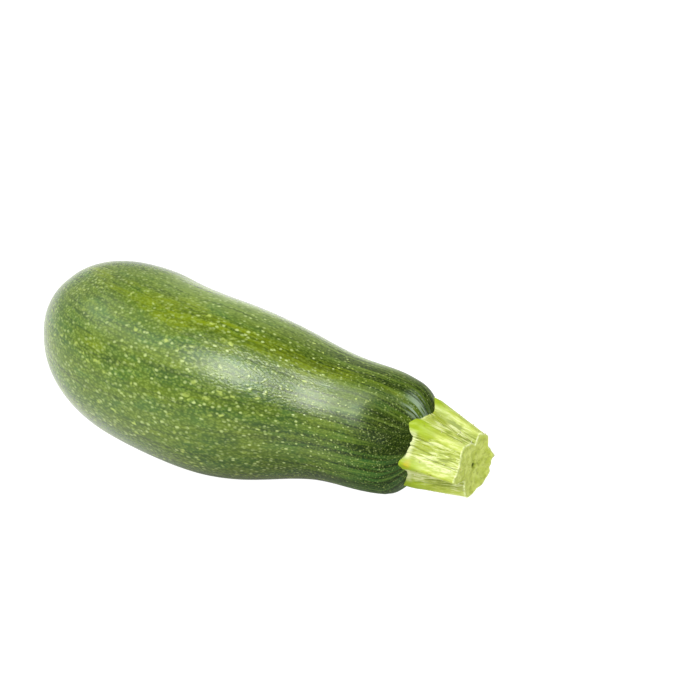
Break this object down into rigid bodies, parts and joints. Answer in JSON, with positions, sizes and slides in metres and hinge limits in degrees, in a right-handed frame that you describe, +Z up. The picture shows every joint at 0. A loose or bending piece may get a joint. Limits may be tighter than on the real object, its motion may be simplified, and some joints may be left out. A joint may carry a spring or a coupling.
{
  "type": "courgette",
  "caption": "Whole courgette lying on its belly: a bent, speckled green fruit, round at the blossom end, narrowing to a lobed shoulder under a ribbed stem stub that is cut square.",
  "frame": {"origin": "middle of the bounding box's underside, on the surface that the courgette lies on", "axes": "+X from the blossom end to the stem, +Z up, -Y towards the side seen in front"},
  "size_m": [0.1706, 0.0654, 0.0605],
  "materials": {
    "skin": "waxy green vegetable skin with pale flecks in rows",
    "stem": "dry, striated pale green stem with a fresh cut face"
  },
  "bodies": {
    "root": {"fruit": "skin", "stem": "stem"}
  },
  "joints": []
}
